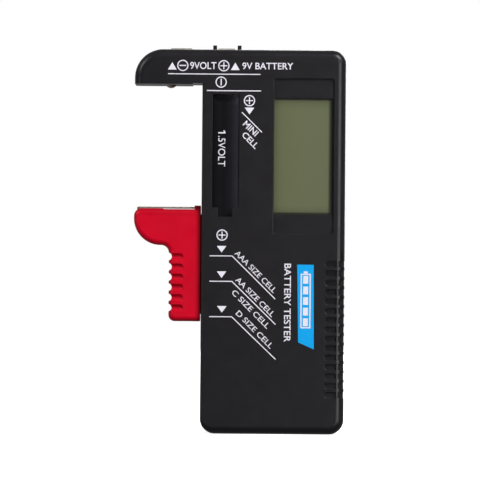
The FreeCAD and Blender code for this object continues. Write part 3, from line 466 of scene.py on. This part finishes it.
def ring(cx, cz, outer, inner):
    """A ring as four-sided cells."""
    angles = [2 * math.pi * i / RING_STEPS for i in range(RING_STEPS)]
    turn = [(math.cos(a), math.sin(a)) for a in angles]
    cells = []
    for (c0, s0), (c1, s1) in zip(turn, turn[1:] + turn[:1]):
        cells.append([(cx + inner * c0, cz + inner * s0), (cx + outer * c0, cz + outer * s0),
                      (cx + outer * c1, cz + outer * s1), (cx + inner * c1, cz + inner * s1)])
    return cells


def bar(cx, cz, wide, high):
    return [[(cx - wide / 2, cz - high / 2), (cx + wide / 2, cz - high / 2),
             (cx + wide / 2, cz + high / 2), (cx - wide / 2, cz + high / 2)]]


def plus(cx, cz, reach, thick):
    a, b = reach, thick / 2
    corners = [(-b, -a), (b, -a), (b, -b), (a, -b), (a, b), (b, b),
               (b, a), (-b, a), (-b, b), (-a, b), (-a, -b), (-b, -b)]
    return [[(cx + x, cz + z) for x, z in corners]]


def triangle(cx, cz, wide, high, up):
    tip, base = (high / 2, -high / 2) if up else (-high / 2, high / 2)
    return [[(cx - wide / 2, cz + base), (cx + wide / 2, cz + base), (cx, cz + tip)]]


def stroke(points, wide):
    """A bent line of even width with mitred corners, as one cell per run."""
    pts = [Vector(p) for p in points]
    sides = []
    for i, p in enumerate(pts):
        before = (p - pts[i - 1]).normalized() if i else (pts[1] - p).normalized()
        after = (pts[i + 1] - p).normalized() if i + 1 < len(pts) else before
        normal = (Vector((-before.y, before.x)) + Vector((-after.y, after.x))).normalized()
        reach = wide / 2 / max(0.3, normal.dot(Vector((-before.y, before.x))))
        sides.append((p + normal * reach, p - normal * reach))
    return [[tuple(a[1]), tuple(b[1]), tuple(b[0]), tuple(a[0])] for a, b in zip(sides, sides[1:])]


SIGN_RADIUS = 1.58       # ring round a plus or minus
SIGN_LINE = 0.30
PLUS_REACH = 0.98
MINUS_SIZE = (1.9, 0.32)


def sign_ring(cx, cz):
    return ring(cx, cz, SIGN_RADIUS, SIGN_RADIUS - SIGN_LINE)


def plus_sign(cx, cz):
    return sign_ring(cx, cz) + plus(cx, cz, PLUS_REACH, SIGN_LINE)


def minus_sign(cx, cz, upright=False):
    wide, high = reversed(MINUS_SIZE) if upright else MINUS_SIZE
    return sign_ring(cx, cz) + bar(cx, cz, wide, high)


def add_cells(bm, cells):
    for cell in cells:
        bm.faces.new([bm.verts.new((x, 0.0, z)) for x, z in cell])


def add_text(bm, words, cx, cz, length, height, turn=0.0, weight=0.010):
    """Letters fitted to a length and a capital height, turned about their centre."""
    curve = bpy.data.curves.new("letters", "FONT")
    curve.body = words
    curve.size = 1.0
    curve.offset = weight
    curve.resolution_u = 4
    mesh = mesh_of(curve)
    xs, ys = [v.co.x for v in mesh.vertices], [v.co.y for v in mesh.vertices]
    middle = Vector(((min(xs) + max(xs)) / 2, (min(ys) + max(ys)) / 2))
    sx, sy = length / (max(xs) - min(xs)), height / (max(ys) - min(ys))
    c, s = math.cos(math.radians(turn)), math.sin(math.radians(turn))
    made = []
    for v in mesh.vertices:
        x, y = (v.co.x - middle.x) * sx, (v.co.y - middle.y) * sy
        made.append(bm.verts.new((cx + x * c - y * s, 0.0, cz + x * s + y * c)))
    for p in mesh.polygons:
        bm.faces.new([made[i] for i in p.vertices])
    bpy.data.meshes.remove(mesh)


def cut_in_strips(bm, wide):
    """Cuts flat cells across X, so that they can follow a hollow face."""
    x = math.floor(min(v.co.x for v in bm.verts) / wide) * wide
    high = max(v.co.x for v in bm.verts)
    while x < high:
        geometry = bm.verts[:] + bm.edges[:] + bm.faces[:]
        bmesh.ops.bisect_plane(bm, geom=geometry, plane_co=(x, 0, 0), plane_no=(1, 0, 0))
        x += wide


SAME_PLACE = 1e-4        # corners closer than this are one
STRIP = 0.3


def printed(name, bm, material, body, depth_of=None):
    """Turns flat cells drawn on y = 0 into a thin closed layer of ink on a face. The face is the case's
    front, or the one whose depth at x is depth_of(x)."""
    bmesh.ops.remove_doubles(bm, verts=bm.verts, dist=SAME_PLACE)
    bmesh.ops.dissolve_degenerate(bm, edges=bm.edges, dist=SAME_PLACE)
    for face in bm.faces:
        face.normal_update()
        if face.normal.y > 0:
            face.normal_flip()
    if depth_of:
        cut_in_strips(bm, STRIP)
    grown = bmesh.ops.extrude_face_region(bm, geom=bm.faces[:])
    top = {v for v in grown["geom"] if isinstance(v, bmesh.types.BMVert)}
    for v in bm.verts:
        face_y = depth_of(v.co.x) if depth_of else FRONT_Y
        v.co.y = face_y - INK_GAP - (INK if v in top else 0.0)
        v.co *= MM
    bmesh.ops.recalc_face_normals(bm, faces=bm.faces[:])
    piece = placed(name, mesh_from(name, bm), material)
    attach(piece, body)
    return piece


# ---- printing on the case ---------------------------------------------------------------------

LINE = 0.27              # width of the printed lines
ARROW_WIDE = 2.7
ROW_ARROW = (2.5, 2.1)   # the two arrows in the nine-volt row
# height of the row's middle, of its arrows' middle and of the line under it
ROW_Z, ROW_ARROW_Z, ROW_LINE_Z = 103.4, 103.25, 101.04
# for each size mark: its arrow's middle, its line's height and where the line ends
SIZE_MARKS = (((-4.95, 51.88), 50.00, (10.20, 38.00)),
              ((-4.90, 44.75), 42.87, (10.35, 30.85)),
              ((-4.75, 35.00), 32.92, (10.45, 21.05)))
MARK_LEFT, MARK_BEND = -8.30, -1.98
# each cell size: the words, their middle and their length
SIZE_WORDS = (("AAA SIZE CELL", (4.69, 45.63), 15.6), ("AA SIZE CELL", (4.60, 38.54), 14.6),
              ("C SIZE CELL", (3.40, 35.10), 14.2), ("D SIZE CELL", (4.50, 29.38), 13.8))
PRINT_SLANT = -45


def nine_volt_row(bm):
    """Arrows, signs and words above the arm's line."""
    add_cells(bm, triangle(-19.2, ROW_ARROW_Z, *ROW_ARROW, up=True))
    add_cells(bm, minus_sign(-16.25, ROW_Z))
    add_text(bm, "9VOLT", -10.5, ROW_Z, 7.4, 2.0)
    add_cells(bm, plus_sign(-4.73, ROW_Z))
    add_cells(bm, triangle(-1.52, ROW_ARROW_Z, *ROW_ARROW, up=True))
    add_text(bm, "9V BATTERY", 7.6, ROW_Z, 14.3, 1.9)
    add_cells(bm, stroke([(-20.4, ROW_LINE_Z), (5.57, ROW_LINE_Z)], LINE))


def trough_marks(bm):
    """Signs, line and words round the button-cell trough."""
    line_z = 96.4
    add_cells(bm, minus_sign(-5.45, 98.8, upright=True))
    add_cells(bm, stroke([(-9.42, line_z), (5.75, line_z)], LINE))
    add_cells(bm, plus_sign(2.54, 93.65))
    add_cells(bm, triangle(2.57, 90.75, ARROW_WIDE, 1.9, up=False))
    add_cells(bm, stroke([(0.5, 90.35), (6.1, 84.8)], LINE))
    add_text(bm, "MINI", 2.96, 85.84, 4.8, 1.75, turn=-43, weight=0.012)
    add_text(bm, "CELL", 2.86, 82.53, 5.4, 1.75, turn=PRINT_SLANT, weight=0.012)


def size_marks(bm):
    """Arrows, bent lines and words for the cell sizes, down the left side."""
    add_cells(bm, plus_sign(-4.85, 55.85))
    for (x, z), line_z, end in SIZE_MARKS:
        add_cells(bm, triangle(x, z, ARROW_WIDE, 1.85, up=False))
        add_cells(bm, stroke([(MARK_LEFT, line_z), (MARK_BEND, line_z), end], LINE))
    for words, (x, z), length in SIZE_WORDS:
        add_text(bm, words, x, z, length, 1.58, turn=PRINT_SLANT, weight=0.006)


def front_print():
    bm = bmesh.new()
    nine_volt_row(bm)
    trough_marks(bm)
    size_marks(bm)
    add_text(bm, "BATTERY TESTER", 13.66, 36.97, 22.0, 1.9, turn=-90)
    printed("front_print", bm, INK_WHITE, "case")


def battery_tag():
    """Blue field with a slanted lower edge."""
    bm = bmesh.new()
    add_cells(bm, [[(16.35, 47.7), (16.75, 25.9), (21.15, 23.95), (20.95, 47.7)]])
    printed("battery_tag", bm, INK_BLUE, "case")


def battery_tag_mark():
    """Plain battery picture, an outline with five cells in it, printed over the blue field."""
    middle, wide, line = 18.75, 2.5, 0.36
    top, low = 45.0, 30.0
    left, right = middle - wide / 2, middle + wide / 2
    cells, cell_high, pitch = 5, 2.2, 2.98
    bm = bmesh.new()
    add_cells(bm, stroke([(left, low), (left, top), (right, top), (right, low), (left, low)], line))
    add_cells(bm, bar(middle, top + 0.55, 1.1, 0.6))
    for i in range(cells):
        add_cells(bm, bar(middle, low + 1.55 + pitch * i, wide - 1.1, cell_high))
    mark = printed("battery_tag_mark", bm, INK_WHITE, "case")
    for v in mark.data.vertices:
        v.co.y -= INK * MM


TONGUE_LOW, TONGUE_HIGH = box_mm("button_cell_slide")
TONGUE_MIDDLE = (TONGUE_LOW.x + TONGUE_HIGH.x) / 2
HOLLOW_RADIUS = 6.0      # the tongue's face is hollowed round an axis along Z at this depth
HOLLOW_Y = -15.7


def tongue_face(x):
    """Depth of the hollowed tongue's face at x."""
    return HOLLOW_Y + math.sqrt(max(0.0, HOLLOW_RADIUS ** 2 - (x - TONGUE_MIDDLE) ** 2))


def trough_print():
    """A voltage that reads downwards. Its first numeral is a bar with a flag."""
    top, middle, high, thick = 85.4, -5.15, 2.0, 0.34
    right, left = middle + high / 2, middle - high / 2
    bar_top = top - 0.62
    bar_low = bar_top - thick
    bm = bmesh.new()
    add_cells(bm, [[(right, bar_top), (right, bar_low), (left, bar_low), (left, bar_top),
                    (right - 0.42, bar_top), (right - 0.62, top - 0.05), (right - 0.30, top - 0.12)]])
    add_text(bm, ".5VOLT", middle, 79.45, 8.55, high, turn=-90, weight=0.0)
    printed("trough_print", bm, INK_WHITE, "slider", depth_of=tongue_face)


front_print()
battery_tag()
battery_tag_mark()
trough_print()


# ---- spring -----------------------------------------------------------------------------------

def tube(name, points, radius, material):
    """A round wire through a list of points, as a closed mesh."""
    curve = bpy.data.curves.new(name, "CURVE")
    curve.dimensions = "3D"
    curve.bevel_depth = radius * MM
    curve.bevel_resolution = 2
    curve.use_fill_caps = True
    line = curve.splines.new("POLY")
    line.points.add(len(points) - 1)
    for point, place in zip(line.points, points):
        point.co = (*(c * MM for c in place), 1.0)
    mesh = mesh_of(curve)
    mesh.name = name
    smooth(mesh)
    return placed(name, mesh, material)


WIRE = 0.25              # the spring wire's radius
TURNS = 25
TURN_STEPS = 20
LOOP_ARC = 320           # degrees that an end loop goes round
LOOP_STEPS = 28


def end_loop(x, y, z, radius, start):
    """Points of an end loop about (x, y, z), in the plane across Y, from a start in degrees."""
    angles = [math.radians(start + LOOP_ARC * i / LOOP_STEPS) for i in range(LOOP_STEPS + 1)]
    return [(x + radius * math.sin(a), y, z + radius * math.cos(a)) for a in angles]


def spring_coil():
    """Extension spring with a loop at each end. It stretches between the case and the slide."""
    low, high = box_mm("return_spring")
    x, y = (low.x + high.x) / 2, (low.y + high.y) / 2
    radius = (high.x - low.x) / 2 - WIRE
    loop_low, loop_high = low.z + radius + WIRE, high.z - radius - WIRE
    coil_low, coil_high = loop_low + radius + 3 * WIRE, loop_high - radius - 3 * WIRE
    points = end_loop(x, y, loop_low, radius, -270)[::-1]
    for i in range(TURNS * TURN_STEPS + 1):
        share = i / (TURNS * TURN_STEPS)
        a = 2 * math.pi * TURNS * share + math.pi
        z = coil_low + (coil_high - coil_low) * share
        points.append((x + radius * math.cos(a), y + radius * math.sin(a), z))
    points += end_loop(x, y, loop_high, radius, -230)
    coil = tube("return_spring_coil", points, WIRE, SPRING)
    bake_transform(coil)
    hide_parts("return_spring")


spring_coil()


# ---- solder on the board ----------------------------------------------------------------------

LEAD_HOLES = ((5.0, 90.4), (9.0, 91.0), (13.2, 93.4), (4.8, 82.4))     # x and z on the board
JOINT_RADIUS = 0.95
JOINT_HIGH = 0.9
WAIST = 0.28             # share of its foot's radius that a joint narrows to
HOLLOWNESS = 1.7
TIP = 0.55               # share of the waist's radius at the very top
ROWS, SIDES = 7, 18      # rows of corners up a joint, and corners in each


def solder_joint(bm, place, normal):
    """A concave-sided cone of solder that stands on a face."""
    axis = Vector(normal).normalized()
    side = axis.orthogonal().normalized()
    other = axis.cross(side)
    turns = [2 * math.pi * k / SIDES for k in range(SIDES)]
    rows = []
    for i in range(ROWS):
        t = i / (ROWS - 1)
        r = JOINT_RADIUS * ((1 - t) ** HOLLOWNESS * (1 - WAIST) + WAIST)
        if i == ROWS - 1:
            r *= TIP
        middle = Vector(place) + axis * (JOINT_HIGH * t)
        rows.append([bm.verts.new(middle + side * (r * math.cos(a)) + other * (r * math.sin(a)))
                     for a in turns])
    for a, b in zip(rows, rows[1:]):
        for k in range(SIDES):
            bm.faces.new([a[k], a[(k + 1) % SIDES], b[(k + 1) % SIDES], b[k]])
    bm.faces.new(rows[0][::-1])
    bm.faces.new(rows[-1])


def solder_joints():
    bm = bmesh.new()
    board_back = box_mm("circuit_board")[1].y
    for x, z in LEAD_HOLES:
        solder_joint(bm, (x, board_back, z), (0, 1, 0))
    bmesh.ops.recalc_face_normals(bm, faces=bm.faces[:])
    for v in bm.verts:
        v.co *= MM
    mesh = mesh_from("solder_joints", bm)
    smooth(mesh)
    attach(placed("solder_joints", mesh, SOLDER), "case")


solder_joints()


# ---- studio -----------------------------------------------------------------------------------

FLOOR_RADIUS = 6.0
FLOOR_DROP = 0.0001      # the floor lies this far under the object


def floor():
    """Round pale floor. A weak glow of its own and no part in bounced light keep it white."""
    bm = bmesh.new()
    bmesh.ops.create_circle(bm, cap_ends=True, segments=96, radius=FLOOR_RADIUS)
    n = Nodes("floor_paper")
    n.set(Base_Color=n.ramp(n.noise(300.0), [(0.3, (0.90, 0.90, 0.90)), (0.7, (0.92, 0.92, 0.92))]))
    n.set(Roughness=n.span(n.noise(4.0), 0.85, 0.95), Specular_IOR_Level=0.0)
    n.set(Emission_Color=(1.0, 1.0, 1.0, 1.0), Emission_Strength=0.72)
    plane = placed("floor", mesh_from("floor", bm), n.mat)
    plane.location.z = -FLOOR_DROP
    plane.visible_diffuse = plane.visible_glossy = False


def softbox(name, place, aim, wide, high, power):
    light = bpy.data.lights.new(name, "AREA")
    light.shape = "RECTANGLE"
    light.size = wide
    light.size_y = high
    light.energy = power
    lamp = bpy.data.objects.new(name, light)
    lamp.location = place
    lamp.rotation_euler = (Vector(aim) - Vector(place)).to_track_quat("-Z", "Y").to_euler()
    bpy.context.scene.collection.objects.link(lamp)


def room_light(world):
    """Light from a plain white room: dim in front of the object and bright behind it. What the camera
    sees past the floor is plain white from every side."""
    tree = world.node_tree
    plain = tree.nodes["Background"]
    plain.inputs["Color"].default_value = (1.0, 1.0, 1.0, 1.0)
    plain.inputs["Strength"].default_value = 1.0
    shaded = tree.nodes.new("ShaderNodeBackground")
    split = tree.nodes.new("ShaderNodeSeparateXYZ")
    tree.links.new(tree.nodes.new("ShaderNodeTexCoord").outputs["Generated"], split.inputs[0])
    product = tree.nodes.new("ShaderNodeMath")
    product.operation = "MULTIPLY"
    first, last = -0.7, 0.5     # where the light starts and stops changing, along an axis from -1 to 1
    front_to_back, low_to_high = (0.16, 0.62), (0.65, 0.60)
    for i, (axis, ends) in enumerate((("Y", front_to_back), ("Z", low_to_high))):
        span = tree.nodes.new("ShaderNodeMapRange")
        span.interpolation_type = "SMOOTHSTEP"
        tree.links.new(split.outputs[axis], span.inputs["Value"])
        for key, value in zip(("From Min", "From Max", "To Min", "To Max"), (first, last, *ends)):
            span.inputs[key].default_value = value
        tree.links.new(span.outputs["Result"], product.inputs[i])
    tree.links.new(product.outputs[0], shaded.inputs["Strength"])
    mix = tree.nodes.new("ShaderNodeMixShader")
    tree.links.new(tree.nodes.new("ShaderNodeLightPath").outputs["Is Camera Ray"], mix.inputs[0])
    tree.links.new(shaded.outputs[0], mix.inputs[1])
    tree.links.new(plain.outputs[0], mix.inputs[2])
    surface = next(n for n in tree.nodes if n.type == "OUTPUT_WORLD").inputs["Surface"]
    tree.links.new(mix.outputs[0], surface)


LIGHT_AIM = (0.0, 0.0, 0.055)     # about the object's middle
# each softbox: its name, place, width, height and power in watts
SOFTBOXES = (("key", (0.42, -0.52, 0.60), 0.26, 0.26, 7.2),
             ("fill", (-0.66, -0.42, 0.54), 0.40, 0.30, 3.0),
             ("low_fill", (-0.66, -0.62, 0.02), 0.30, 0.03, 0.5),
             ("strip", (0.52, -1.02, 0.05), 0.50, 0.32, 5.2),
             ("back", (0.30, 0.98, 0.34), 0.60, 0.60, 6.5))


def overhead():
    """A very wide soft light from above."""
    light = bpy.data.lights.new("overhead", "SUN")
    light.energy = 0.4
    light.angle = math.radians(70)
    lamp = bpy.data.objects.new("overhead", light)
    lamp.rotation_euler = (math.radians(12), math.radians(10), 0.0)
    lamp.visible_glossy = False
    bpy.context.scene.collection.objects.link(lamp)


def studio():
    world = bpy.data.worlds.new("studio")
    world.use_nodes = True
    bpy.context.scene.world = world
    room_light(world)
    for name, place, wide, high, power in SOFTBOXES:
        softbox(name, place, LIGHT_AIM, wide, high, power)
    overhead()
    bpy.context.scene.view_settings.view_transform = "Standard"
    bpy.context.scene.view_settings.look = "None"


FRAME_WIDE = 134.8       # width in millimetres that the camera takes in at the case's front face
ROLL = -0.47             # degrees


def camera():
    """A long lens square to the front, rolled slightly as the object leans."""
    lens = bpy.data.cameras.new("camera")
    lens.lens = 400.0
    lens.sensor_width = 36.0
    lens.clip_start = 0.01
    lens.clip_end = 20.0
    away = FRAME_WIDE * lens.lens / lens.sensor_width
    eye = bpy.data.objects.new("camera", lens)
    eye.location = Vector((0.2, FRONT_Y - away, 54.5)) * MM
    eye.rotation_euler = (math.radians(90), math.radians(ROLL), 0.0)
    bpy.context.scene.collection.objects.link(eye)
    bpy.context.scene.camera = eye


floor()
studio()
camera()
